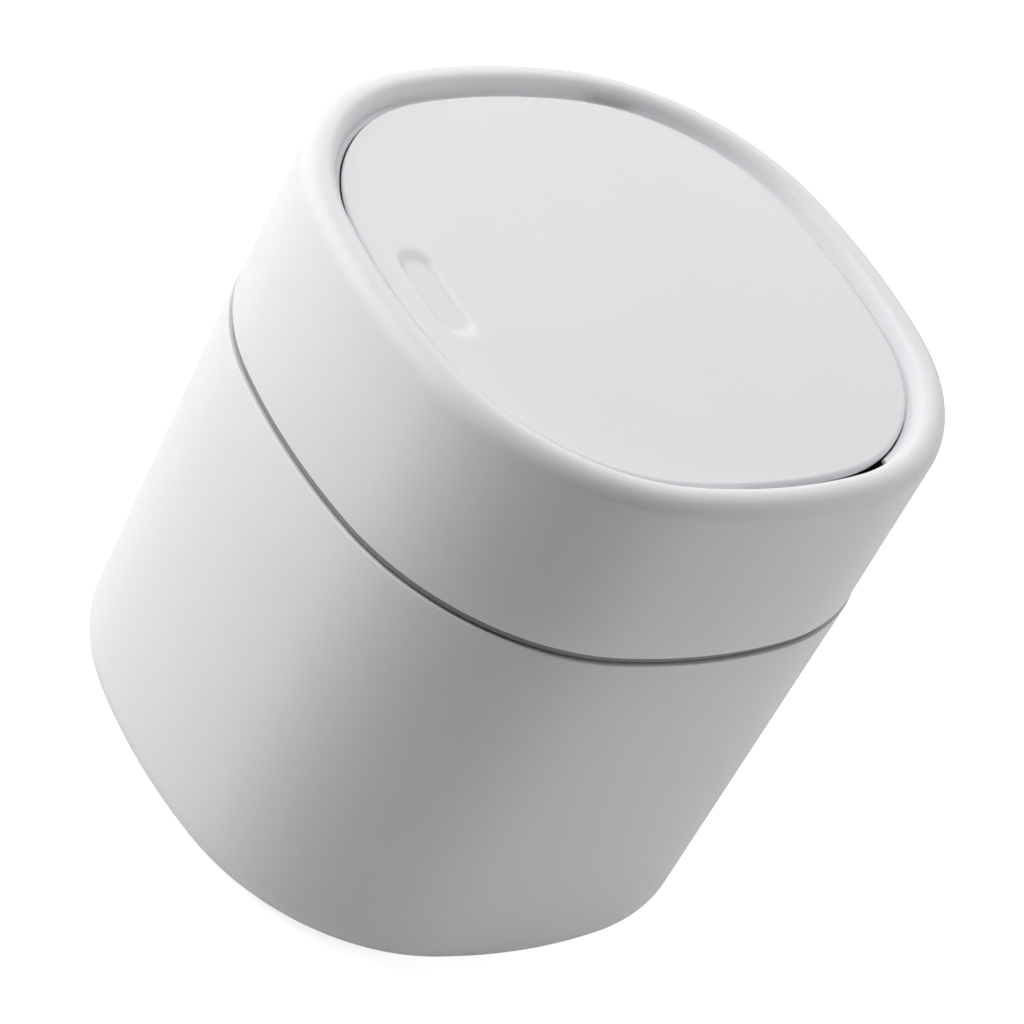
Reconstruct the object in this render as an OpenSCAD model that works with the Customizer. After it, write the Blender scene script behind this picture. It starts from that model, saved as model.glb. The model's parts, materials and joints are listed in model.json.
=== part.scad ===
// Push top countertop bin: a bucket, a lift-off lid unit and a sprung flap held by a push latch.
// Millimetres, +Z up, front at -Y, hinge at +Y, origin at the middle of the underside.

/* [Body] */
// Width and depth of the bin at its rim
body_w = 140; // [132:1:170]
// Height from the surface it stands on to the crest of the rim
body_h = 144.4; // [136:0.2:190]
// How much narrower each side of the bucket is at its foot than at its upper edge
bucket_draft = 1.9; // [1:0.1:4]
// How much narrower each side of the collar is at its lower edge than at its crest
collar_draft = 0.25; // [0.05:0.05:0.8]
// Radius of the four rounded corners, seen from above
corner_r = 55; // [50:1:58]
// Radius of the four bowed sides, seen from above
side_r = 141; // [120:1:200]
// Wall thickness of the bucket and the collar
wall = 2.2; // [1.8:0.1:2.6]

/* [Bucket] */
// Height of the bucket's upper edge
bucket_h = 98.8; // [70:0.2:104]
// How far the bucket's wall stands proud of the collar's
bucket_proud = 0.35; // [0.05:0.05:0.8]
// Thickness of the bucket's floor
floor_t = 2.6; // [2:0.1:4]
// Radius of the bend between the bucket's wall and its floor
foot_bend = 8; // [4:0.5:12]
// Diameter of the rubber feet
foot_d = 11; // [8:0.5:16]
// Height that the feet stand proud of the floor
foot_proud = 0.6; // [0.4:0.1:1.5]
// Depth of the pockets that hold the feet
foot_pocket = 1.2; // [0.8:0.1:1.4]
// Distance of each foot's middle from the sides, seen from above
foot_inset = 34; // [28:1:45]

/* [Collar] */
// Height of the shadow line between bucket and collar
seam_h = 1.5; // [1:0.1:3]
// Depth of the shadow line
seam_depth = 0.7; // [0.4:0.1:0.9]
// Width of the rounded rim, from the outer face to the inner skirt
lip_w = 7; // [6.8:0.1:8]
// Radius of the rim's outer shoulder
lip_outer_r = 4.2; // [3:0.1:4.4]
// Radius of the rim's inner shoulder
lip_inner_r = 2.6; // [2.4:0.1:3]
// Thickness of the skirt that hangs from the rim
skirt_t = 2; // [1.6:0.1:2.4]

/* [Flap] */
// Distance from the rim's outer face to the edge of the flap
flap_inset = 9.3; // [9:0.1:11]
// Depth of the flap's top below the crest of the rim
flap_drop = 2.8; // [1.5:0.1:5]
// Thickness of the flap's top panel
panel_t = 1.8; // [1.4:0.1:2.4]
// Thickness of the carrier plate under the panel
carrier_t = 1.6; // [1.2:0.1:2.2]
// How far the carrier's edge lies inside the panel's edge
carrier_inset = 4.7; // [4:0.1:7]
// Length of the press dimple
dimple_l = 25.4; // [18:0.2:34]
// Width of the press dimple
dimple_w = 9.4; // [8:0.2:12]
// Depth of the press dimple
dimple_depth = 0.9; // [0.5:0.1:1.1]
// Distance of the dimple's middle from the front of the rim
dimple_inset = 19.3; // [19:0.1:26]
// Angle that the flap can be pressed below its closed place
press_angle = 0.8; // [0.4:0.1:0.9]
// Height of the ribs under the flap
rib_h = 1.5; // [1:0.1:1.6]
// Thickness of the ribs under the flap
rib_t = 1.4; // [1:0.1:2]

/* [Lid frame] */
// Thickness of the deck under the flap
deck_t = 2; // [1.6:0.1:2.6]
// Gap between the closed carrier plate and the deck
deck_gap = 2; // [1.8:0.1:3]
// Depth of the ring that plugs into the bucket
spigot_h = 10; // [6:0.5:16]
// Thickness of the frame's walls
frame_wall = 2; // [1.6:0.1:2.4]
// Gap all round between the spigot and the bucket
spigot_gap = 0.3; // [0.15:0.05:0.5]
// Distance of the throat's front edge from the front of the rim
throat_inset = 29; // [28:0.5:34]
// Distance from the back of the rim to where the rear ledge begins
ledge_inset = 37.5; // [34:0.5:39]
// Corner radius of the throat
throat_r = 15; // [8:0.5:18]

/* [Hinge] */
// Diameter of the steel hinge pin
pin_d = 2; // [1.8:0.1:2.2]
// Running clearance between the pin and its bores, on the radius
pin_gap = 0.05; // [0.02:0.01:0.1]
// Distance of the hinge axis from the back of the rim
hinge_inset = 44; // [43:0.2:46]
// Depth of the hinge axis below the top of the flap
hinge_drop = 3.6; // [3.5:0.1:3.8]
// Wire diameter of the torsion springs
twist_wire = 0.6; // [0.5:0.05:0.65]
// Turns in each torsion spring
twist_turns = 8; // [5:1:10]
// Width of the beam that carries the hinge
beam_w = 7; // [5:0.5:9]
// Depth of the beam that carries the hinge
beam_h = 5; // [4:0.5:6]

/* [Latch] */
// Distance of the latch's middle from the front of the rim
latch_inset = 18.5; // [18:0.1:20]
// Width of the latch housing
latch_w = 19; // [18:0.5:22]
// Depth of the latch housing, front to back
latch_d = 13; // [12.6:0.1:13.4]
// Height of the latch housing
latch_h = 22; // [20:0.5:26]
// Wall thickness of the latch housing
latch_wall = 2.2; // [1.8:0.1:2.4]
// Sliding clearance between the latch core and its housing
core_gap = 0.2; // [0.1:0.05:0.4]
// Half width of the arrow head on the flap's tongue
head_w = 3.2; // [2.6:0.1:3.4]
// Wire diameter of the latch spring
coil_wire = 0.7; // [0.5:0.05:0.8]
// Turns in the latch spring
coil_turns = 6; // [4:1:8]
// Diameter of the heads of the latch screws
screw_head_d = 4.6; // [4:0.1:5]

/* [Hidden] */
$fn = 96;
eps = 0.01;
touch_gap = 0.3;

// Outline seen from above: four side arcs and four corner arcs that meet tangentially
half_w = body_w / 2;
foot_at = half_w - foot_inset;
dimple_at = half_w - dimple_inset;
throat_front = half_w - throat_inset;
ledge_y = half_w - ledge_inset;
hinge_y = half_w - hinge_inset;
latch_at = half_w - latch_inset;
side_c = half_w - side_r;
corner_first = (side_c + sqrt(2 * pow(side_r - corner_r, 2) - side_c * side_c)) / 2;
// Half the angle of a side arc, kept to hundredths so that neighbouring arcs meet exactly
side_a = round(100 * atan2(corner_first, corner_first - side_c)) / 100;
corner_c = -side_c * tan(side_a) / (1 - tan(side_a));
corner_arc = side_r - (corner_c - side_c) / cos(side_a);
arc_steps = 8;

// Heights
collar_z = bucket_h + seam_h;
flap_z = body_h - flap_drop;
panel_z = flap_z - panel_t;
carrier_z = panel_z - carrier_t;
deck_z = carrier_z - deck_gap;
deck_low = deck_z - deck_t;
skirt_z = deck_z + touch_gap;
hinge_z = flap_z - hinge_drop;

// Deck, ledge and walls of the lid frame
skin_gap = 0.1;
frame_in = lip_w - skin_gap;
ledge_tuck = 0.7;
ledge_in = flap_inset - ledge_tuck;
ledge_drop = 2.5;
ledge_z = panel_z - ledge_drop;
ledge_h = 8;
ledge_slope = 2;
ledge_root = 0.5;
spigot_lead = 1;
spigot_bevel = 0.6;
throat_lip_h = 4;
tie_h = 4;

// Hinge: the pin, the knuckles and posts it runs through, and the beam below
pin_r = pin_d / 2;
bore_r = pin_r + pin_gap;
knuckle_wall = 0.9;
knuckle_r = pin_r + knuckle_wall;
post_inset = 26;
post_x = half_w - post_inset;
post_w = 4;
mid_post_w = 5;
knuckle_w = 5;
knuckle_gap = 0.4;
knuckles = [mid_post_w / 2 + knuckle_gap + knuckle_w / 2, post_x - post_w / 2 - knuckle_gap - knuckle_w / 2];
pin_end = 1;
pin_half = post_x + post_w / 2 + pin_end;
beam_gap = 0.4;
beam_set = 0.6;
post_foot = 1;
beam_top = hinge_z - knuckle_r - beam_gap;
beam_rear = hinge_y - beam_set;
beam_front = beam_rear - beam_w;
window_end = 0.8;
window_side = 0.7;
window_x = pin_half + window_end;
window_y = knuckle_r + window_side;
groove_end = 0.5;
groove_x = post_x + post_w / 2 + groove_end;
groove_d = 0.6;

// Torsion springs round the pin
twist_gap = 0.18;
twist_r = pin_r + twist_wire / 2 + twist_gap;
twist_pitch = twist_wire * 1.12;
twist_x = 12;
twist_leg = 6;
leg_slot_w = 1.6;
leg_bend = 0.6;
seat_w = 2.4;
seat_set = 1;
seat_l = 3;

// Latch
latch_y = -latch_at;
latch_top = deck_low;
latch_low = latch_top - latch_h;
cavity_x = latch_w / 2 - latch_wall;
cavity_y = latch_d / 2 - latch_wall;
core_x = cavity_x - core_gap;
core_y = cavity_y - core_gap;
mouth_side = 0.6;
mouth_end = 1;
mouth_x = cavity_x + mouth_side;
mouth_y = cavity_y + mouth_end;
press_drop = (hinge_y + latch_at) * sin(press_angle);
head_sink = 1.2;
head_top = latch_top - head_sink;
head_edge = 0.8;
head_tip = 1;
head_h = 2.3;
head_low = head_top - head_h;
neck_w = 1.5;
tongue_d = 5;
jaw_base_t = 1;
jaw_arm_t = 0.9;
jaw_play = 0.2;
hook_h = 1.2;
hook_reach = 1.1;
jaw_foot_in = 1;
jaw_foot_w = 1.2;
jaw_foot_h = 1;
jaw_foot_fit = 0.05;
head_gap = 0.6;
core_top = head_low - press_drop - head_gap - jaw_base_t;
core_h = 9.4;
core_low = core_top - core_h;
latch_floor = 2;
cavity_low = latch_low + latch_floor;
coil_r = 2;
coil_bore = 5;
coil_seat = 0.1;
cam_depth = 1.2;
cam_foot = 1.8;
cam_low = core_low + cam_foot;
heart_h = 2.4;
heart_foot = 1.5;
heart_low = cam_low + heart_foot;
cam_head = 3.2;
cam_top = heart_low + heart_h + cam_head;
cam_half = 3.2;
channel_w = 2.4;
channel_d = 1;
follower_d = 0.8;
follower_rest = 0.35;
follower_play = 0.2;
heart_notch = 0.7;
ear_t = 2;
boss_h = 7.2;
ear_z = latch_top - boss_h;
ear_x = 13.2;
ear_end = 3;
boss_r = 2.8;
screw_r = 1.1;
screw_bite = 0.1;
screw_ease = 0.05;
screw_play = 0.2;
screw_head_h = 1.6;
screw_grip = 4.6;
screw_hole_r = screw_r + screw_play;
recess_l = 2.6;
recess_w = 0.6;
recess_d = 1;

// Where the bumpers stand: under the strip of panel outside the carrier plate
bumper_d = 4.6;
bumper_a = 47.5;
bumper_at = corner_arc - flap_inset - carrier_inset / 2;
bumper_x = corner_c + bumper_at * cos(bumper_a);
bumper_y = -corner_c - bumper_at * sin(bumper_a);
bumper_pocket = 1;
bumper_play = 0.25;
bumper_top = panel_z - (hinge_y - bumper_y) * sin(press_angle) - bumper_play;
bumper_h = bumper_top - deck_z + bumper_pocket;
bumper_edge = 0.4;
bumper_fit = 0.1;

// Inset of the collar's outer face at a height
function inset(z) = collar_draft * (body_h - z) / (body_h - collar_z);

// Offset of the bucket's outer face at a height
function bucket_face(z) = bucket_proud - collar_draft - bucket_draft * (bucket_h - z) / bucket_h;

// Points of the outline at an offset from the rim's outer face, none of them where two arcs meet
function arc_points(c, r, from, to) =
    [for (i = [0.5:arc_steps]) let (a = from + (to - from) * i / arc_steps) c + r * [cos(a), sin(a)]];
function turned(points, a) =
    [for (p = points) [p.x * cos(a) - p.y * sin(a), p.x * sin(a) + p.y * cos(a)]];
function quarter(o) = concat(
    arc_points([side_c, 0], side_r + o, -side_a, side_a),
    arc_points([corner_c, corner_c], corner_arc + o, side_a, 90 - side_a));
function outline_points(o) = [for (q = [0:3]) each turned(quarter(o), q * 90)];

// Flat slab that fills the outline, used inside a swept edge
module slab(o, z, h) {
    translate([0, 0, z]) linear_extrude(h) polygon(outline_points(o));
}

// Move by x and y in a coarse and a fine step, which keeps all digits of the distance
function coarse(v) = round(100 * v) / 100;
module move(x, y = 0) {
    translate([coarse(x), coarse(y), 0]) translate([x - coarse(x), y - coarse(y), 0]) children();
}

// Thin ring inside a swept wall, which crosses the joints between the swept pieces
module seam_tie(outer, inner, z, h) difference() {
    slab(outer, z, h);
    slab(inner, z - 1, h + 2);
}

// Sweep a section of [offset, height] round the outline with true arcs
module sweep() {
    for (q = [0:3]) rotate(q * 90) {
        move(side_c)
            rotate_extrude(angle = 2 * side_a, start = -side_a) move(side_r) children();
        move(corner_c, corner_c)
            rotate_extrude(angle = 90 - 2 * side_a, start = side_a) move(corner_arc) children();
    }
}

// Rectangle with rounded corners, centred on the origin
module round_rect(w, d, r) {
    square([w - 2 * r, d], center = true);
    square([w, d - 2 * r], center = true);
    for (x = [-1, 1], y = [-1, 1]) translate([x * (w / 2 - r), y * (d / 2 - r)]) circle(r);
}

// Box given by its lowest and highest corners
module block(low, high) {
    translate(low) cube(high - low);
}

// Cylinder along X
module rod_x(r, x0, x1, y, z) {
    translate([x0, y, z]) rotate([0, 90, 0]) cylinder(r = r, h = x1 - x0);
}

// Round wire along a path, with rings square to the path and one reference direction
function unit(v) = v / norm(v);
function tangent(p, i) = unit(p[min(i + 1, len(p) - 1)] - p[max(i - 1, 0)]);
function ring(p, i, r, sides, along) =
    let (t = tangent(p, i), n = unit(cross(t, along)), b = cross(t, n))
    [for (k = [0:sides - 1]) p[i] + r * (cos(360 * k / sides) * n + sin(360 * k / sides) * b)];
module wire(path, r, along, sides = 8) {
    last = len(path) - 1;
    rings = [for (i = [0:last]) each ring(path, i, r, sides, along)];
    skin = [for (i = [0:last - 1], k = [0:sides - 1])
        let (a = i * sides + k, b = i * sides + (k + 1) % sides)
        each [[a, b, b + sides], [a, b + sides, a + sides]]];
    end = last * sides;
    caps = [for (k = [1:sides - 2]) each [[0, k + 1, k], [end, end + k, end + k + 1]]];
    polyhedron(points = rings, faces = concat(skin, caps));
}

// Width of the strip of floor that the swept section carries
floor_lap = 6;

// The pockets are a little wider than the feet
foot_play = 0.2;

module bucket_section() {
    z0 = foot_proud;
    bend_z = z0 + foot_bend;
    bend_x = bucket_face(bend_z) - foot_bend;
    polygon([[bucket_face(bend_z), bend_z], [bucket_face(bucket_h), bucket_h],
        [bucket_face(bucket_h) - wall, bucket_h], [bucket_face(bend_z) - wall, bend_z]]);
    intersection() {
        translate([bend_x, bend_z]) difference() {
            circle(foot_bend);
            circle(foot_bend - wall);
        }
        translate([bend_x, z0]) square(foot_bend);
    }
    translate([bend_x - floor_lap, z0]) square([floor_lap, floor_t]);
}

module bucket() color("white") difference() {
    union() {
        sweep() bucket_section();
        slab(bucket_face(foot_bend) - foot_bend - floor_lap / 2, foot_proud, floor_t);
    }
    for (x = [-1, 1], y = [-1, 1])
        translate([x * foot_at, y * foot_at, foot_proud - 1])
            cylinder(d = foot_d + foot_play, h = foot_pocket + 1);
}

foot_edge = 0.4;
module foot(x, y) color("silver") translate([x * foot_at, y * foot_at, 0])
    rotate_extrude() polygon([[0, 0], [foot_d / 2 - foot_edge, 0], [foot_d / 2, foot_edge],
        [foot_d / 2, foot_proud + foot_pocket], [0, foot_proud + foot_pocket]]);

// Hollow rounded rim: outer shoulder, crest, inner shoulder and skirt
module rim_solid(shrink, low) {
    top = body_h - shrink;
    outer_r = lip_outer_r - shrink;
    inner_r = max(lip_inner_r - shrink, 0.2);
    shoulder = body_h - lip_outer_r;
    face = -inset(shoulder) - shrink;
    back = -lip_w + shrink;
    intersection() {
        translate([face - outer_r, shoulder]) circle(outer_r);
        translate([face - outer_r, shoulder]) square(outer_r);
    }
    intersection() {
        translate([back + inner_r, top - inner_r]) circle(inner_r);
        translate([back, top - inner_r]) square(inner_r);
    }
    polygon([[face, shoulder], [face - outer_r, top], [back + inner_r, top], [back, top - inner_r], [back, low],
        [face, low]]);
}

module collar_section() {
    difference() {
        rim_solid(0, skirt_z);
        rim_solid(skirt_t, skirt_z - 1);
    }
    shoulder = body_h - lip_outer_r;
    polygon([[-inset(collar_z), collar_z], [-inset(shoulder), shoulder],
        [-inset(shoulder) - wall, shoulder], [-inset(collar_z) - wall, collar_z]]);
}

// Height of the snap barbs that hold the frame in the collar
barb_z = collar_z + 7;
barb_h = 4;
barb_w = 20;
barb_grip = 0.4;
barb_root = 0.5;
tie_z = collar_z + 2;

module collar() color("white") difference() {
    union() {
        sweep() collar_section();
        seam_tie(-inset(tie_z) - wall * 0.3, -inset(tie_z) - wall * 0.7, tie_z, tie_h);
    }
    face = half_w - inset(barb_z) - wall;
    for (q = [0:3]) rotate(q * 90)
        block([face - 1, -barb_w / 2 - touch_gap, barb_z - touch_gap],
            [face + barb_grip + touch_gap, barb_w / 2 + touch_gap, barb_z + barb_h + touch_gap]);
}

module frame_section() {
    under = bucket_face(bucket_h) - wall - spigot_gap;
    tip = bucket_h - spigot_h;
    tip_face = bucket_face(tip) - wall - spigot_gap;
    polygon([[-inset(bucket_h) - seam_depth, bucket_h], [-inset(collar_z) - seam_depth, collar_z],
        [-frame_in, collar_z], [-frame_in, bucket_h]]);
    polygon([[under, bucket_h + eps], [tip_face, tip + spigot_lead], [tip_face - spigot_bevel, tip],
        [-frame_in, tip], [-frame_in, bucket_h + eps]]);
    translate([-frame_in, bucket_h]) square([frame_wall, deck_z - bucket_h]);
}

module barb() {
    face = half_w - inset(barb_z) - wall;
    root = half_w - frame_in + barb_root;
    translate([0, barb_w / 2, 0]) rotate([90, 0, 0]) linear_extrude(barb_w)
        polygon([[root, barb_z], [face + barb_grip, barb_z], [face, barb_z + barb_h / 2],
            [root, barb_z + barb_h]]);
}

module throat() {
    translate([0, half_w - throat_front, deck_low - 1]) linear_extrude(deck_t + 2)
        round_rect(body_w - 2 * frame_in + frame_wall / 2, body_w, throat_r);
}

// Lip that stiffens the front edge of the throat
module throat_lip() {
    run = half_w - frame_in - throat_r;
    block([-run, -throat_front - frame_wall, deck_low - throat_lip_h], [run, -throat_front, deck_low + eps]);
}

// Ledge behind the flap's rear corners and rear edge
module rear_ledge() intersection() {
    root = -frame_in + ledge_root;
    clear = -lip_w - skin_gap;
    sweep() polygon([[-ledge_in, ledge_z], [clear, ledge_z], [clear, deck_z], [root, deck_z],
        [root, ledge_z - ledge_h], [-ledge_in, ledge_z - ledge_h + ledge_slope]]);
    block([-half_w, ledge_y, ledge_z - ledge_h - 1], [half_w, half_w, ledge_z + 1]);
}

// Beam across the throat, with the posts that carry the pin
module hinge_beam() intersection() {
    block([-half_w, beam_front, beam_top - beam_h], [half_w, beam_rear, beam_top]);
    slab(-frame_in + frame_wall / 2, beam_top - beam_h, beam_h);
}

// The posts stand in front of the axis, clear of the flap's rear part when it swings down
module hinge_post(x, w) {
    rod_x(knuckle_r, x - w / 2, x + w / 2, hinge_y, hinge_z);
    translate([x + w / 2, 0, 0]) rotate([90, 0, -90]) linear_extrude(w)
        polygon([[-hinge_y, hinge_z], [-hinge_y + knuckle_r, hinge_z],
            [-beam_front - post_foot, beam_top - eps], [-beam_rear, beam_top - eps],
            [-hinge_y, hinge_z - knuckle_r]]);
}

// Pads on the beam under the lower legs of the torsion springs
module spring_seats() {
    for (x = [-1, 1]) translate([x * (twist_x + (twist_turns + 0.5) * twist_pitch), 0, 0])
        block([-seat_w / 2, beam_front + seat_set, beam_top - eps],
            [seat_w / 2, beam_front + seat_set + seat_l, hinge_z - twist_r - twist_wire / 2]);
}

module latch_bosses() {
    for (x = [-1, 1]) translate([x * ear_x, latch_y, ear_z]) difference() {
        cylinder(r = boss_r, h = deck_low - ear_z + eps);
        translate([0, 0, -1]) cylinder(r = screw_r - screw_bite, h = deck_low - ear_z);
    }
}

module lid_frame() color("gainsboro") difference() {
    union() {
        sweep() frame_section();
        difference() {
            slab(-frame_in + frame_wall / 2, deck_low, deck_t);
            throat();
            translate([0, latch_y, deck_low - 1]) linear_extrude(deck_t + 2)
                square([2 * mouth_x, 2 * mouth_y], center = true);
        }
        for (q = [0:3]) rotate(q * 90) barb();
        throat_lip();
        rear_ledge();
        hinge_beam();
        hinge_post(0, mid_post_w);
        for (x = [-1, 1]) hinge_post(x * post_x, post_w);
        spring_seats();
        latch_bosses();
    }
    rod_x(bore_r, -pin_half - 1, pin_half + 1, hinge_y, hinge_z);
    for (x = [-1, 1]) translate([x * bumper_x, bumper_y, deck_z - bumper_pocket])
        cylinder(d = bumper_d + bumper_fit, h = bumper_pocket + 1);
}

// Shallow pill-shaped dish with sloping sides
module dimple() {
    slope = dimple_depth;
    run = dimple_l / 2 - dimple_w / 2;
    low_r = dimple_w / 2 - slope;
    top_r = dimple_w / 2 + slope;
    cut_h = 2 * dimple_depth;
    translate([0, -dimple_at, flap_z - dimple_depth]) {
        for (x = [-1, 1]) translate([x * run, 0, 0]) cylinder(r1 = low_r, r2 = top_r, h = cut_h);
        translate([run, 0, 0]) rotate([90, 0, -90]) linear_extrude(2 * run)
            polygon([[-low_r, 0], [low_r, 0], [top_r, cut_h], [-top_r, cut_h]]);
    }
}

// Places of the heat stakes that join the panel to its carrier
stake_r = 1.2;
stake_head_h = 0.8;
stake_play = 0.05;
stake_x = post_x - 18;
stakes = [for (x = [-1, 1], y = [-throat_front + 13, 0, hinge_y + 18]) [x * stake_x, y]];

// Width of the swept band at the edge of the panel and of the carrier
edge_band = 8;

module flap_panel() color("white") {
    edge = 0.25;
    difference() {
        union() {
            sweep() polygon([[-flap_inset - edge, flap_z], [-flap_inset, flap_z - edge], [-flap_inset, panel_z],
                [-flap_inset - edge_band, panel_z], [-flap_inset - edge_band, flap_z]]);
            slab(-flap_inset - edge_band / 2, panel_z, panel_t);
        }
        dimple();
        block([-groove_x, hinge_y - window_y, panel_z - 1], [groove_x, hinge_y + window_y, panel_z + groove_d]);
    }
    for (s = stakes) translate([s.x, s.y, 0]) {
        translate([0, 0, carrier_z - eps]) cylinder(r = stake_r, h = carrier_t + 2 * eps);
        translate([0, 0, carrier_z - stake_head_h]) cylinder(r = stake_r * 1.7, h = stake_head_h);
    }
}

// Lattice of ribs: a frame round the throat, two inner ribs, and two short ones behind the hinge
rib_x = post_x - 6;
rib_inner_x = 14;
rib_mid_y = -8;
rib_front = throat_front - 6;
rib_rear = beam_front - 2;
tail_front = hinge_y + 10;
tail_rear = hinge_y + 20;
module ribs() {
    for (y = [-rib_front, rib_mid_y, rib_rear])
        block([-rib_x, y - rib_t / 2, carrier_z - rib_h], [rib_x, y + rib_t / 2, carrier_z + eps]);
    for (x = [-rib_x, -rib_inner_x, rib_inner_x, rib_x])
        block([x - rib_t / 2, -rib_front, carrier_z - rib_h], [x + rib_t / 2, rib_rear, carrier_z + eps]);
    for (x = [-rib_inner_x, rib_inner_x])
        block([x - rib_t / 2, tail_front, carrier_z - rib_h], [x + rib_t / 2, tail_rear, carrier_z + eps]);
}

// Tongue with an arrow head that the latch jaws grip
module tongue() {
    translate([0, latch_y + tongue_d / 2, 0]) rotate([90, 0, 0]) linear_extrude(tongue_d) {
        polygon([[-neck_w, carrier_z + eps], [-neck_w, head_top], [-head_w, head_top],
            [-head_w, head_top - head_edge], [-head_tip, head_low], [head_tip, head_low],
            [head_w, head_top - head_edge], [head_w, head_top], [neck_w, head_top], [neck_w, carrier_z + eps]]);
    }
}

// Opening in the carrier round the posts and springs, with slots for the springs' upper legs
module hinge_window() {
    block([-window_x, hinge_y - window_y, carrier_z - 1], [window_x, hinge_y + window_y, panel_z + 1]);
    for (x = [-1, 1]) translate([x * twist_x, 0, 0])
        block([-leg_slot_w / 2, hinge_y - twist_leg - leg_bend, carrier_z - 1],
            [leg_slot_w / 2, hinge_y, panel_z + 1]);
}

// How far the knuckles' bridges reach into the plate
knuckle_lap = 1;

module flap_carrier() color("whitesmoke") difference() {
    edge = -flap_inset - carrier_inset;
    union() {
        difference() {
            union() {
                sweep() translate([edge - edge_band, carrier_z]) square([edge_band, carrier_t]);
                slab(edge - edge_band / 2, carrier_z, carrier_t);
            }
            hinge_window();
        }
        ribs();
        tongue();
        for (x = [-1, 1], k = knuckles) translate([x * k, 0, 0]) {
            rod_x(knuckle_r, -knuckle_w / 2, knuckle_w / 2, hinge_y, hinge_z);
            block([-knuckle_w / 2, hinge_y - knuckle_r, hinge_z],
                [knuckle_w / 2, hinge_y + knuckle_r, carrier_z]);
            block([-knuckle_w / 2, hinge_y - window_y - knuckle_lap, carrier_z],
                [knuckle_w / 2, hinge_y + window_y + knuckle_lap, panel_z]);
        }
    }
    rod_x(bore_r, -post_x, post_x, hinge_y, hinge_z);
    for (s = stakes) translate([s.x, s.y, carrier_z - 1]) cylinder(r = stake_r + stake_play, h = carrier_t + 2);
}

module hinge_pin() color("silver") rod_x(pin_r, -pin_half, pin_half, hinge_y, hinge_z);

// Torsion spring round the pin: the upper leg lifts the flap, the lower leg rests on the beam
module torsion_spring() color("dimgray") {
    steps = 8;
    coil = [for (i = [0:(twist_turns + 0.5) * steps]) let (a = 90 + i * 360 / steps)
        [twist_x + twist_pitch * i / steps, hinge_y + twist_r * cos(a), hinge_z + twist_r * sin(a)]];
    first = coil[0];
    last = coil[len(coil) - 1];
    path = concat([first - [0, twist_leg, 0], first - [0, leg_bend, 0]], coil,
        [last - [0, leg_bend, 0], last - [0, twist_leg, 0]]);
    wire(path, twist_wire / 2, [1, 0, 0], 6);
}

module bumper(x) color("gray") translate([x * bumper_x, bumper_y, deck_z - bumper_pocket])
    rotate_extrude() polygon([[0, 0], [bumper_d / 2, 0], [bumper_d / 2, bumper_h - bumper_edge],
        [bumper_d / 2 - bumper_edge, bumper_h], [0, bumper_h]]);

module latch_housing() color("lightgray") translate([0, latch_y, 0]) difference() {
    union() {
        block([-latch_w / 2, -latch_d / 2, latch_low], [latch_w / 2, latch_d / 2, latch_top]);
        block([-ear_x - ear_end, -boss_r, ear_z - ear_t], [ear_x + ear_end, boss_r, ear_z]);
    }
    block([-cavity_x, -cavity_y, cavity_low], [cavity_x, cavity_y, latch_top + 1]);
    // channel for the follower wire
    block([-channel_w / 2, cavity_y - 1, cavity_low], [channel_w / 2, cavity_y + channel_d, cam_top]);
    for (x = [-1, 1]) translate([x * ear_x, 0, ear_z - ear_t - 1]) cylinder(r = screw_hole_r, h = ear_t + 2);
}

// Heart-shaped island that the follower wire runs round
module heart() {
    polygon([[0, 0], [1.5, 1], [1.7, heart_h], [0.8, heart_h + 0.2], [0, heart_h - heart_notch],
        [-0.9, heart_h], [-1.7, heart_h - 0.4], [-1.5, 1]]);
}

module latch_core() color("khaki") translate([0, latch_y, 0]) difference() {
    block([-core_x, -core_y, core_low], [core_x, core_y, core_top]);
    translate([0, 0, core_low - 1]) cylinder(r = coil_r + coil_wire, h = coil_bore + 1);
    translate([0, core_y + 1, 0]) rotate([90, 0, 0]) linear_extrude(cam_depth + 1) difference() {
        translate([-cam_half, cam_low]) square([2 * cam_half, cam_top - cam_low]);
        translate([0, heart_low]) heart();
    }
    // grooves that hold the foot of the jaws
    for (x = [-1, 1]) translate([x * (core_x - jaw_foot_in), 0, core_top - jaw_foot_h])
        block([-jaw_foot_w / 2, -core_y - 1, 0], [jaw_foot_w / 2, core_y + 1, jaw_foot_h + 1]);
}

// Sprung fork on the core: two arms with hooks over the arrow head
module latch_jaws() color("ivory") {
    foot_w = jaw_foot_w - 2 * jaw_foot_fit;
    foot_h = jaw_foot_h - 2 * jaw_foot_fit;
    foot_out = jaw_foot_in - foot_w / 2;
    arm_x = head_w + jaw_play + jaw_arm_t;
    hook_z = head_top + jaw_play;
    d = tongue_d - 2 * jaw_play;
    translate([0, latch_y + d / 2, 0]) rotate([90, 0, 0]) linear_extrude(d) {
        translate([-core_x + foot_out, core_top]) square([2 * (core_x - foot_out), jaw_base_t]);
        for (s = [-1, 1]) scale([s, 1]) {
            translate([core_x - foot_out - foot_w, core_top - foot_h]) square([foot_w, foot_h + eps]);
            polygon([[arm_x - jaw_arm_t, core_top + jaw_base_t - eps], [arm_x, core_top + jaw_base_t - eps],
                [arm_x, hook_z + hook_h], [neck_w + hook_reach, hook_z + hook_h],
                [neck_w + hook_reach / 2, hook_z], [arm_x - jaw_arm_t, hook_z]]);
        }
    }
}

module latch_spring() color("dimgray") translate([0, latch_y, 0]) {
    low = cavity_low + coil_wire / 2 + coil_seat;
    high = core_low + coil_bore - coil_wire / 2 - coil_seat;
    steps = 8;
    count = coil_turns * steps;
    path = [for (i = [0:count]) let (a = i * 360 / steps)
        [coil_r * cos(a), coil_r * sin(a), low + (high - low) * i / count]];
    wire(path, coil_wire / 2, [0, 0, 1], 6);
}

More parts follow.
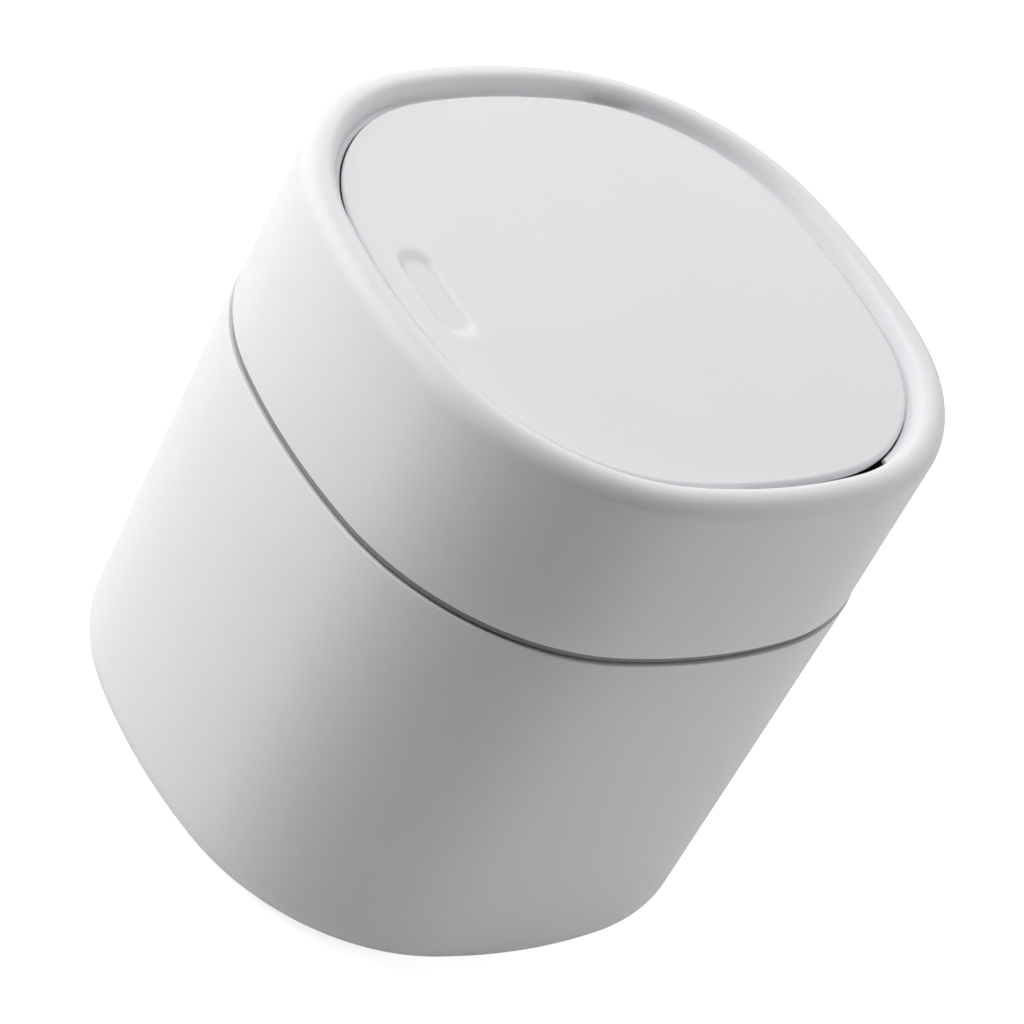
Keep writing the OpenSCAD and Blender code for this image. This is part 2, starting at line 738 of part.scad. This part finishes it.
// Bent steel wire: its foot sits in the housing, its tip rests in the notch of the heart
module cam_wire() color("silver") translate([0, latch_y, 0]) {
    tip_z = heart_low + heart_h - heart_notch + follower_d / 2 + follower_rest;
    back = cavity_y + channel_d / 2;
    tip = core_y - cam_depth + follower_play;
    rod_z = cavity_low + follower_play;
    translate([0, back, rod_z]) cylinder(d = follower_d, h = tip_z - rod_z + follower_d / 2);
    translate([0, back, tip_z]) rotate([90, 0, 0]) cylinder(d = follower_d, h = back - tip);
}

module latch_screws() color("silver") {
    for (x = [-1, 1]) translate([x * ear_x, latch_y, 0]) {
        translate([0, 0, ear_z - ear_t - screw_head_h]) difference() {
            cylinder(d = screw_head_d, h = screw_head_h);
            for (a = [0, 90]) rotate(a)
                block([-recess_l / 2, -recess_w / 2, -1], [recess_l / 2, recess_w / 2, recess_d]);
        }
        translate([0, 0, ear_z - ear_t - eps])
            cylinder(r = screw_r - screw_bite - screw_ease, h = ear_t + screw_grip);
    }
}

bucket();
foot(-1, -1);  // foot_front_left
foot(1, -1);  // foot_front_right
foot(-1, 1);  // foot_rear_left
foot(1, 1);  // foot_rear_right
collar();
lid_frame();
flap_panel();
flap_carrier();
hinge_pin();
mirror([1, 0, 0]) torsion_spring();  // torsion_spring_left
torsion_spring();  // torsion_spring_right
bumper(-1);  // bumper_left
bumper(1);  // bumper_right
latch_housing();
latch_core();
latch_jaws();
latch_spring();
cam_wire();
latch_screws();
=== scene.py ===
"""Looks of the push top countertop bin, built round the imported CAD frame.

Sizes are in millimetres unless said. Front is -Y, up is +Z.
"""

import json
import math

import bpy
import bmesh
from mathutils import Matrix, Vector


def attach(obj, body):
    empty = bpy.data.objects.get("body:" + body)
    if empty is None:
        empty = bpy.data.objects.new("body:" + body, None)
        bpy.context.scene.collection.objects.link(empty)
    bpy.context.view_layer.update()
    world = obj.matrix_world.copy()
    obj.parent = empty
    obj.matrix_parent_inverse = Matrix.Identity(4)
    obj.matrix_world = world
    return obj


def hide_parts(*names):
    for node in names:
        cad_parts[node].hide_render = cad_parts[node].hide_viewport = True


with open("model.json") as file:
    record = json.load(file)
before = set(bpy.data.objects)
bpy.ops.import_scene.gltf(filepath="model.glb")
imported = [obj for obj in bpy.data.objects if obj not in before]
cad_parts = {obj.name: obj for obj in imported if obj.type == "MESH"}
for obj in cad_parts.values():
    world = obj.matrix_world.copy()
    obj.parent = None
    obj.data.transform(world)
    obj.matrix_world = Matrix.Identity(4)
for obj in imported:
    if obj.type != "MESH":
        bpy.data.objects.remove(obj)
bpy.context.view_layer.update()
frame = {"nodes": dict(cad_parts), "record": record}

MM = 0.001

# The part's main sizes, as in its source
BODY_W = 140.0
BODY_H = 144.4
BUCKET_DRAFT = 1.9
COLLAR_DRAFT = 0.25
SIDE_R = 141.0
CORNER_R = 55.0
WALL = 2.2
BUCKET_H = 98.8
BUCKET_PROUD = 0.35
FLOOR_T = 2.6
FOOT_PROUD = 0.6
FOOT_BEND = 8.0
SEAM_H = 1.5
LIP_W = 7.0
LIP_OUTER_R = 4.2
LIP_INNER_R = 2.6
SKIRT_T = 2.0
FLAP_INSET = 9.3
FLAP_DROP = 2.8
PANEL_T = 1.8
CARRIER_T = 1.6
DIMPLE_L = 25.4
DIMPLE_W = 9.4
DIMPLE_DEPTH = 0.9
DIMPLE_AT = 50.7
DECK_GAP = 2.0
SKIRT_GAP = 0.3
STAKE_R = 1.2
STAKE_HEAD_R = 2.04
STAKE_HEAD_H = 0.8
STAKE_AT = [(x, y) for x in (-26.0, 26.0) for y in (-28.0, 0.0, 44.0)]

# What only the scene's pieces have: soft edges, a wider seam and the ledge beside the flap
RIM_DIP = 0.7
RIM_DROP = 0.3
RIM_EDGE_R = 0.3
COLLAR_LIFT = 0.1
COLLAR_EDGE_R = 0.25
SKIRT_EDGE_R = 0.3
SHOULDER_CHAMFER = 0.6
WALL_LEAN = 20
GAP_LEDGE_TO = 8.95
GAP_LEDGE_Z = 140.2
GAP_LEDGE_T = 1.0
GAP_LEDGE_ROOT_T = 1.3
GAP_LEDGE_EDGE_R = 0.4
GAP_FILLET_R = 0.5
DIMPLE_SLOPE = 1.6
PANEL_EDGE_R = 0.9
PANEL_LOW_EDGE = 0.15
PANEL_BAND = 4.65
PANEL_RELIEF = 0.6

# Compass angles, in degrees, where the ledge is left out on the right and held back on the left
GAP_NOTCH = (-6.0, 31.0)
GAP_NOTCH_FADE = 0.8
GAP_RELIEF = (149.0, 157.0)
GAP_RELIEF_FADE = 4.0
GAP_RELIEF_SHARE = 0.35

HALF_W = BODY_W / 2
SIDE_C = HALF_W - SIDE_R
CORNER_FIRST = (SIDE_C + math.sqrt(2 * (SIDE_R - CORNER_R) ** 2 - SIDE_C ** 2)) / 2
SIDE_A = math.radians(round(100 * math.degrees(math.atan2(CORNER_FIRST, CORNER_FIRST - SIDE_C))) / 100)
CORNER_C = -SIDE_C * math.tan(SIDE_A) / (1 - math.tan(SIDE_A))
CORNER_ARC = SIDE_R - (CORNER_C - SIDE_C) / math.cos(SIDE_A)
COLLAR_Z = BUCKET_H + SEAM_H
FLAP_Z = BODY_H - FLAP_DROP
PANEL_Z = FLAP_Z - PANEL_T
CARRIER_Z = PANEL_Z - CARRIER_T
SKIRT_Z = CARRIER_Z - DECK_GAP + SKIRT_GAP


# ---------- geometry helpers ----------

def inset(z):
    """Inset of the collar's outer face at a height."""
    return COLLAR_DRAFT * (BODY_H - z) / (BODY_H - COLLAR_Z)


def bucket_face(z):
    """Offset of the bucket's outer face at a height."""
    return BUCKET_PROUD - COLLAR_DRAFT - BUCKET_DRAFT * (BUCKET_H - z) / BUCKET_H


def outline(side_steps, corner_steps):
    """Points and outward normals of the rim's outer face, anticlockwise from the right."""
    result = []
    for quarter in range(4):
        turn = quarter * math.pi / 2
        spans = (((SIDE_C, 0.0), SIDE_R, -SIDE_A, SIDE_A, side_steps),
                 ((CORNER_C, CORNER_C), CORNER_ARC, SIDE_A, math.pi / 2 - SIDE_A, corner_steps))
        for centre, radius, first, last, steps in spans:
            for i in range(steps):
                a = first + (last - first) * i / steps
                x = centre[0] + radius * math.cos(a)
                y = centre[1] + radius * math.sin(a)
                point = (x * math.cos(turn) - y * math.sin(turn), x * math.sin(turn) + y * math.cos(turn))
                result.append((point, (math.cos(a + turn), math.sin(a + turn))))
    return result


OUTLINE = outline(28, 64)


def arc(centre, radius, first, last, steps):
    """Points of an arc in the section plane, angles in degrees."""
    return [(centre[0] + radius * math.cos(math.radians(first + (last - first) * i / steps)),
             centre[1] + radius * math.sin(math.radians(first + (last - first) * i / steps)))
            for i in range(steps + 1)]


def new_object(name, verts, faces, smooth_angle=35.0):
    """Mesh object in metres with smooth faces and sharp edges above an angle."""
    mesh = bpy.data.meshes.new(name)
    mesh.from_pydata([Vector(v) * MM for v in verts], [], faces)
    bm = bmesh.new()
    bm.from_mesh(mesh)
    bmesh.ops.remove_doubles(bm, verts=bm.verts, dist=1e-7)
    bmesh.ops.recalc_face_normals(bm, faces=bm.faces)
    limit = math.radians(smooth_angle)
    for edge in bm.edges:
        edge.smooth = len(edge.link_faces) == 2 and edge.calc_face_angle(0) < limit
    for face in bm.faces:
        face.smooth = True
    bm.to_mesh(mesh)
    bm.free()
    obj = bpy.data.objects.new(name, mesh)
    bpy.context.scene.collection.objects.link(obj)
    return obj


def swept_rings(section):
    """One ring of vertices round the outline for each section point."""
    return [[(p[0] + n[0] * o, p[1] + n[1] * o, z) for p, n in OUTLINE] for o, z in section]


def ring_faces(count, per_ring, closed):
    """Quads between neighbouring rings; closed joins the last ring to the first."""
    faces = []
    for i in range(count if closed else count - 1):
        j = (i + 1) % count
        for k in range(per_ring):
            m = (k + 1) % per_ring
            faces.append((i * per_ring + k, i * per_ring + m, j * per_ring + m, j * per_ring + k))
    return faces


def sweep(name, section, closed=True, caps=False):
    """Section of (offset, height) swept round the outline; caps fill the first and last ring."""
    rings = swept_rings(section)
    per_ring = len(OUTLINE)
    faces = ring_faces(len(rings), per_ring, closed)
    if caps:
        faces.append(tuple(reversed(range(per_ring))))
        last = (len(rings) - 1) * per_ring
        faces.append(tuple(range(last, last + per_ring)))
    return new_object(name, [v for ring in rings for v in ring], faces)


# ---------- shells ----------

def bucket_section():
    """Outer and inner line of the bucket's wall, both as (offset, height)."""
    bend_z = FOOT_PROUD + FOOT_BEND
    centre = (bucket_face(bend_z) - FOOT_BEND, bend_z)
    top = bucket_face(BUCKET_H)
    edge = RIM_EDGE_R
    outer = arc((top - edge, BUCKET_H - RIM_DROP - edge), edge, 90, 0, 5)
    outer += [(bucket_face(z), z) for z in (80.0, 55.0, 30.0, 14.0)]
    outer += arc(centre, FOOT_BEND, 0, -90, 16)
    floor_z = FOOT_PROUD + FLOOR_T
    inner = [(centre[0], floor_z)]
    inner += [(x, z) for x, z in arc(centre, FOOT_BEND - WALL, -78, 0, 10) if z > floor_z]
    inner += [(bucket_face(z) - WALL, z) for z in (30.0, 60.0)]
    inner += arc((top - WALL + edge, BUCKET_H - RIM_DIP - edge), edge, 180, 90, 3)
    return outer, inner


def make_bucket():
    outer, inner = bucket_section()
    section = list(reversed(outer)) + list(reversed(inner))
    return sweep("bucket_shell", section, closed=False, caps=True)


def collar_section(ledge):
    """Section of the collar; ledge 1 adds the narrow step beside the flap, 0 leaves it out."""
    shoulder = BODY_H - LIP_OUTER_R
    face = -inset(shoulder)
    low = -inset(COLLAR_Z)
    edge = COLLAR_EDGE_R
    section = arc((low - edge, COLLAR_Z + COLLAR_LIFT + edge), edge, -90, 0, 4)
    section += [(-inset(z), z) for z in (108.0, 118.0, 128.0, 136.0)]
    section += arc((face - LIP_OUTER_R, shoulder), LIP_OUTER_R, 0, 90, 18)
    section += arc((-LIP_W + LIP_INNER_R, BODY_H - LIP_INNER_R), LIP_INNER_R, 90,
                   180 - WALL_LEAN, 12)
    wall_top, wall_top_z = section[-1]
    fillet_z = GAP_LEDGE_Z + GAP_FILLET_R
    wall_foot = wall_top - (wall_top_z - fillet_z) * math.tan(math.radians(WALL_LEAN))
    step = (arc((wall_foot - GAP_FILLET_R, fillet_z), GAP_FILLET_R, -WALL_LEAN, -90, 6)
            + arc((-GAP_LEDGE_TO + GAP_LEDGE_EDGE_R, GAP_LEDGE_Z - GAP_LEDGE_EDGE_R),
                  GAP_LEDGE_EDGE_R, 90, 180, 5)
            + [(-GAP_LEDGE_TO, GAP_LEDGE_Z - GAP_LEDGE_T), (-LIP_W, GAP_LEDGE_Z - GAP_LEDGE_ROOT_T)])
    section += [(-LIP_W + (o + LIP_W) * ledge, z) for o, z in step]
    section += arc((-LIP_W + SKIRT_EDGE_R, SKIRT_Z + SKIRT_EDGE_R), SKIRT_EDGE_R, 180, 270, 3)
    section += [(-LIP_W + SKIRT_T, SKIRT_Z),
                (-LIP_W + SKIRT_T, BODY_H - SKIRT_T - SHOULDER_CHAMFER),
                (-LIP_W + SKIRT_T + SHOULDER_CHAMFER, BODY_H - SKIRT_T)]
    section += arc((face - LIP_OUTER_R, shoulder), LIP_OUTER_R - SKIRT_T, 90, 0, 8)
    section += [(-inset(z) - WALL, z) for z in (130.0, 115.0, COLLAR_Z + COLLAR_LIFT)]
    return section


def make_collar():
    """Collar swept round the outline, its gap ledge notched beside the hinge on the right and
    relieved on the left, where the flap swings past it."""
    plain, stepped = collar_section(0.0), collar_section(1.0)
    share = []
    for p, _ in OUTLINE:
        polar = math.degrees(math.atan2(p[1], p[0]))
        inside = min(polar - GAP_NOTCH[0], GAP_NOTCH[1] - polar)
        relieved = min(polar - GAP_RELIEF[0], GAP_RELIEF[1] - polar)
        notched = min(max(-inside / GAP_NOTCH_FADE, 0.0), 1.0)
        held_back = min(max(GAP_RELIEF_SHARE - relieved / GAP_RELIEF_FADE, GAP_RELIEF_SHARE), 1.0)
        share.append(min(notched, held_back))
    verts = []
    for (o0, z0), (o1, z1) in zip(plain, stepped):
        for (p, n), f in zip(OUTLINE, share):
            o = o0 + (o1 - o0) * f
            verts.append((p[0] + n[0] * o, p[1] + n[1] * o, z0 + (z1 - z0) * f))
    return new_object("collar_skin", verts, ring_faces(len(plain), len(OUTLINE), True))


def smoothstep(t):
    """Soft step from 0 to 1."""
    t = min(max(t, 0.0), 1.0)
    return t * t * (3 - 2 * t)


def dimple_depth(x, y):
    """Depth of the dish: flat floor, soft shoulders inside its outline."""
    run = (DIMPLE_L - DIMPLE_W) / 2
    away = math.hypot(max(abs(x) - run, 0.0), y + DIMPLE_AT) - DIMPLE_W / 2
    return DIMPLE_DEPTH * smoothstep(-away / DIMPLE_SLOPE)


def add_stake(verts, faces, place):
    """Heat stake that holds the carrier: a shaft with a domed head, turned round its axis."""
    top = PANEL_Z + PANEL_RELIEF
    low = CARRIER_Z - STAKE_HEAD_H
    profile = [(0.0, low), (0.9, low + 0.04), (1.6, low + 0.2), (STAKE_HEAD_R, low + 0.5),
               (STAKE_HEAD_R, CARRIER_Z), (STAKE_R, CARRIER_Z), (STAKE_R, top), (0.0, top)]
    turns = 28
    first = len(verts)
    for r, z in profile:
        for k in range(turns):
            a = 2 * math.pi * k / turns
            verts.append((place[0] + r * math.cos(a), place[1] + r * math.sin(a), z))
    for i in range(len(profile) - 1):
        for k in range(turns):
            m = (k + 1) % turns
            a, b = first + i * turns, first + (i + 1) * turns
            faces.append((a + k, a + m, b + m, b + k))


def make_panel():
    """Flap top: rings that shrink towards the middle, with the press dish and a rounded edge."""
    edge = PANEL_EDGE_R
    offset = -FLAP_INSET
    per_ring = len(OUTLINE)
    rings = swept_rings([(offset - PANEL_BAND - 0.1, PANEL_Z + PANEL_RELIEF),
                         (offset - PANEL_BAND, PANEL_Z),
                         (offset - PANEL_LOW_EDGE, PANEL_Z), (offset, PANEL_Z + PANEL_LOW_EDGE)]
                        + arc((offset - edge, FLAP_Z - edge), edge, 0, 90, 5))
    base = swept_rings([(offset - edge, FLAP_Z)])[0]
    steps = ([1 - 0.004 * i for i in range(1, 6)] + [0.98 - 0.0066 * i for i in range(1, 50)]
             + [0.65 - 0.05 * i for i in range(1, 13)])
    for t in steps:
        rings.append([(x * t, y * t, FLAP_Z - dimple_depth(x * t, y * t)) for x, y, _ in base])
    verts = [v for ring in rings for v in ring]
    faces = ring_faces(len(rings), per_ring, False)
    faces.append(tuple(reversed(range(per_ring))))
    last = (len(rings) - 1) * per_ring
    faces.append(tuple(range(last, last + per_ring)))
    for place in STAKE_AT:
        add_stake(verts, faces, place)
    return new_object("flap_skin", verts, faces)


# ---------- materials ----------

def principled(name, colour, roughness, bump=0.0, bump_scale=900.0, mottle=0.0, metallic=0.0,
               specular=0.5, subsurface=0.0):
    """Node material: base colour with a faint procedural mottle, and a fine moulded grain as bump."""
    mat = bpy.data.materials.new(name)
    mat.use_nodes = True
    nodes, links = mat.node_tree.nodes, mat.node_tree.links
    nodes.clear()
    out = nodes.new("ShaderNodeOutputMaterial")
    shader = nodes.new("ShaderNodeBsdfPrincipled")
    links.new(shader.outputs["BSDF"], out.inputs["Surface"])
    shader.inputs["Base Color"].default_value = (*colour, 1)
    shader.inputs["Roughness"].default_value = roughness
    shader.inputs["Metallic"].default_value = metallic
    shader.inputs["Specular IOR Level"].default_value = specular
    shader.inputs["Subsurface Weight"].default_value = subsurface
    shader.inputs["Subsurface Radius"].default_value = (1.0, 0.72, 0.85)
    shader.inputs["Subsurface Scale"].default_value = 0.0015
    coords = nodes.new("ShaderNodeTexCoord")
    if mottle:
        noise = nodes.new("ShaderNodeTexNoise")
        noise.inputs["Scale"].default_value = 34.0
        noise.inputs["Detail"].default_value = 3.0
        links.new(coords.outputs["Object"], noise.inputs["Vector"])
        ramp = nodes.new("ShaderNodeValToRGB")
        ramp.color_ramp.elements[0].position = 0.3
        ramp.color_ramp.elements[1].position = 0.7
        ramp.color_ramp.elements[0].color = (*[c * (1 - mottle) for c in colour], 1)
        ramp.color_ramp.elements[1].color = (*[min(c * (1 + mottle), 1) for c in colour], 1)
        links.new(noise.outputs["Fac"], ramp.inputs["Fac"])
        links.new(ramp.outputs["Color"], shader.inputs["Base Color"])
    if bump:
        grain = nodes.new("ShaderNodeTexNoise")
        grain.inputs["Scale"].default_value = bump_scale
        grain.inputs["Detail"].default_value = 2.0
        links.new(coords.outputs["Object"], grain.inputs["Vector"])
        node = nodes.new("ShaderNodeBump")
        node.inputs["Strength"].default_value = bump
        node.inputs["Distance"].default_value = 0.0002
        links.new(grain.outputs["Fac"], node.inputs["Height"])
        links.new(node.outputs["Normal"], shader.inputs["Normal"])
    return mat


WHITE = (0.915, 0.91, 0.935)
SATIN = {"specular": 0.35, "mottle": 0.006, "subsurface": 0.2}
MATERIALS = {
    "body_shell": principled("white_satin_body", WHITE, 0.48, bump=0.10, **SATIN),
    "collar_shell": principled("white_satin_collar", WHITE, 0.46, bump=0.08, **SATIN),
    "flap_top": principled("white_satin_flap", WHITE, 0.52, bump=0.10, **SATIN),
    "carrier": principled("white_matt_carrier", (0.84, 0.835, 0.845), 0.6, bump=0.15, mottle=0.01),
    # Lid frame: partly its own warm grey, partly painted shade, darkened so the seam line reads as a deep
    # shaded recess
    "frame": principled("grey_frame_painted_seam_shade", (0.33, 0.31, 0.32), 0.55, bump=0.15, mottle=0.01),
    "latch_case": principled("grey_latch_case", (0.42, 0.42, 0.44), 0.5, bump=0.15, mottle=0.02),
    "latch_slide": principled("cream_latch_slide", (0.66, 0.62, 0.52), 0.42, bump=0.1, mottle=0.01),
    "jaw_plastic": principled("ivory_jaws", (0.78, 0.74, 0.62), 0.38, bump=0.05, mottle=0.01),
    "feet": principled("grey_rubber_feet", (0.30, 0.30, 0.31), 0.8, bump=0.4, bump_scale=1400, mottle=0.03),
    "bumper_rubber": principled("grey_rubber_bumpers", (0.38, 0.38, 0.39), 0.75, bump=0.4, bump_scale=1400,
                                mottle=0.03),
    "steel": principled("drawn_steel", (0.55, 0.55, 0.56), 0.28, bump=0.06, bump_scale=2200, mottle=0.02,
                        metallic=1.0),
}

SLOT_OF = {s["node"]: s["material_slot"] for s in frame["record"]["subparts"]}


def dress(obj, slot):
    """Give an object the material of its slot."""
    obj.data.materials.clear()
    obj.data.materials.append(MATERIALS[slot])


for node_name, node_object in frame["nodes"].items():
    dress(node_object, SLOT_OF[node_name])

SHELLS = (
    (make_bucket(), "base", "bucket", "body_shell"),
    (make_collar(), "lid_unit", "collar", "collar_shell"),
    (make_panel(), "flap", "flap_panel", "flap_top"),
)
for shell, body, node_name, slot in SHELLS:
    dress(shell, slot)
    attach(shell, body)
    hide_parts(node_name)


# ---------- camera ----------

AZIMUTH, ELEVATION, ROLL = (math.radians(v) for v in (40.97, 35.71, 28.94))
CAMERA_DISTANCE = 1.020
back = Vector((math.sin(AZIMUTH) * math.cos(ELEVATION), -math.cos(AZIMUTH) * math.cos(ELEVATION),
               math.sin(ELEVATION)))
level = Vector((math.cos(AZIMUTH), math.sin(AZIMUTH), 0))
upright = back.cross(level)
cam_x = math.cos(ROLL) * level + math.sin(ROLL) * upright
cam_y = -math.sin(ROLL) * level + math.cos(ROLL) * upright
target = Vector((0, 0, 0.0711)) + 0.00309 * cam_x + 0.00187 * cam_y
camera_data = bpy.data.cameras.new("camera")
camera_data.lens = 163.4
camera_data.sensor_width = 36.0
camera = bpy.data.objects.new("camera", camera_data)
bpy.context.scene.collection.objects.link(camera)
camera.matrix_world = Matrix.Translation(target + CAMERA_DISTANCE * back) @ Matrix(
    (cam_x, cam_y, back)).transposed().to_4x4()
bpy.context.scene.camera = camera


# ---------- floor, world and lights ----------

FLOOR_SIZE = 6.0
FLOOR_LIFT = 0.8
LIFT_FROM, LIFT_TO = 0.25, 0.8


def make_floor():
    """Pale ground that keeps the shadow near the bin and turns white further out. In metres."""
    mesh = bpy.data.meshes.new("floor")
    corners = [(x * FLOOR_SIZE, y * FLOOR_SIZE, 0) for x, y in ((-1, -1), (1, -1), (1, 1), (-1, 1))]
    mesh.from_pydata(corners, [], [(0, 1, 2, 3)])
    floor = bpy.data.objects.new("floor", mesh)
    bpy.context.scene.collection.objects.link(floor)
    mat = bpy.data.materials.new("pale_floor")
    mat.use_nodes = True
    nodes, links = mat.node_tree.nodes, mat.node_tree.links
    nodes.clear()
    out = nodes.new("ShaderNodeOutputMaterial")
    diffuse = nodes.new("ShaderNodeBsdfDiffuse")
    diffuse.inputs["Color"].default_value = (0.9, 0.9, 0.9, 1)
    glow = nodes.new("ShaderNodeEmission")
    glow.inputs["Color"].default_value = (1, 1, 1, 1)
    path = nodes.new("ShaderNodeLightPath")
    coords = nodes.new("ShaderNodeTexCoord")
    reach = nodes.new("ShaderNodeVectorMath")
    reach.operation = "LENGTH"
    links.new(coords.outputs["Object"], reach.inputs[0])
    spread = nodes.new("ShaderNodeMapRange")
    spread.inputs["From Min"].default_value = LIFT_FROM
    spread.inputs["From Max"].default_value = LIFT_TO
    spread.inputs["To Min"].default_value = FLOOR_LIFT
    spread.inputs["To Max"].default_value = 1.0
    links.new(reach.outputs["Value"], spread.inputs["Value"])
    lift = nodes.new("ShaderNodeMath")
    lift.operation = "MULTIPLY"
    links.new(spread.outputs["Result"], lift.inputs[1])
    links.new(path.outputs["Is Camera Ray"], lift.inputs[0])
    links.new(lift.outputs[0], glow.inputs["Strength"])
    add = nodes.new("ShaderNodeAddShader")
    links.new(diffuse.outputs[0], add.inputs[0])
    links.new(glow.outputs[0], add.inputs[1])
    links.new(add.outputs[0], out.inputs["Surface"])
    mesh.materials.append(mat)


def make_world(ambient):
    """White background for rays that see it, and a chosen strength for the light it gives."""
    world = bpy.data.worlds.new("studio")
    bpy.context.scene.world = world
    world.use_nodes = True
    nodes, links = world.node_tree.nodes, world.node_tree.links
    nodes.clear()
    out = nodes.new("ShaderNodeOutputWorld")
    soft = nodes.new("ShaderNodeBackground")
    soft.inputs["Color"].default_value = (1, 1, 1, 1)
    soft.inputs["Strength"].default_value = ambient
    white = nodes.new("ShaderNodeBackground")
    white.inputs["Color"].default_value = (1, 1, 1, 1)
    white.inputs["Strength"].default_value = 1.0
    path = nodes.new("ShaderNodeLightPath")
    first = nodes.new("ShaderNodeMath")
    first.operation = "MAXIMUM"
    second = nodes.new("ShaderNodeMath")
    second.operation = "MAXIMUM"
    links.new(path.outputs["Is Camera Ray"], first.inputs[0])
    links.new(path.outputs["Is Transmission Ray"], first.inputs[1])
    links.new(first.outputs[0], second.inputs[0])
    links.new(path.outputs["Is Glossy Ray"], second.inputs[1])
    mix = nodes.new("ShaderNodeMixShader")
    links.new(second.outputs[0], mix.inputs["Fac"])
    links.new(soft.outputs[0], mix.inputs[1])
    links.new(white.outputs[0], mix.inputs[2])
    links.new(mix.outputs[0], out.inputs["Surface"])


def softbox(name, polar, height_angle, distance, width, tall, watts):
    """Area light that looks at the middle of the bin, placed by compass and height angle in degrees."""
    a, e = math.radians(polar), math.radians(height_angle)
    place = Vector((math.cos(a) * math.cos(e), math.sin(a) * math.cos(e), math.sin(e)))
    data = bpy.data.lights.new(name, "AREA")
    data.shape = "RECTANGLE"
    data.size = width
    data.size_y = tall
    data.energy = watts
    light = bpy.data.objects.new(name, data)
    bpy.context.scene.collection.objects.link(light)
    light.location = Vector((0, 0, 0.07)) + distance * place
    light.rotation_euler = (-place).to_track_quat("-Z", "Y").to_euler()


AMBIENT = 0.0
LIGHTS = (
    ("right_low", 45, 10, 1.25, 0.8, 0.8, 4.9),
    ("left_low", 225, 10, 1.25, 0.8, 0.8, 3.5),
    ("right_high", 45, 38, 1.25, 0.8, 0.8, 0.53),
    ("back_high", 90, 38, 1.25, 0.8, 0.8, 2.0),
    ("rear_high", 135, 38, 1.25, 0.8, 0.8, 3.75),
    ("left_high", 225, 38, 1.25, 0.8, 0.8, 8.85),
    ("left_top", 225, 66, 1.25, 0.8, 0.8, 2.5),
)
make_floor()
make_world(AMBIENT)
for light_values in LIGHTS:
    softbox(*light_values)

bpy.context.scene.view_settings.view_transform = "Standard"
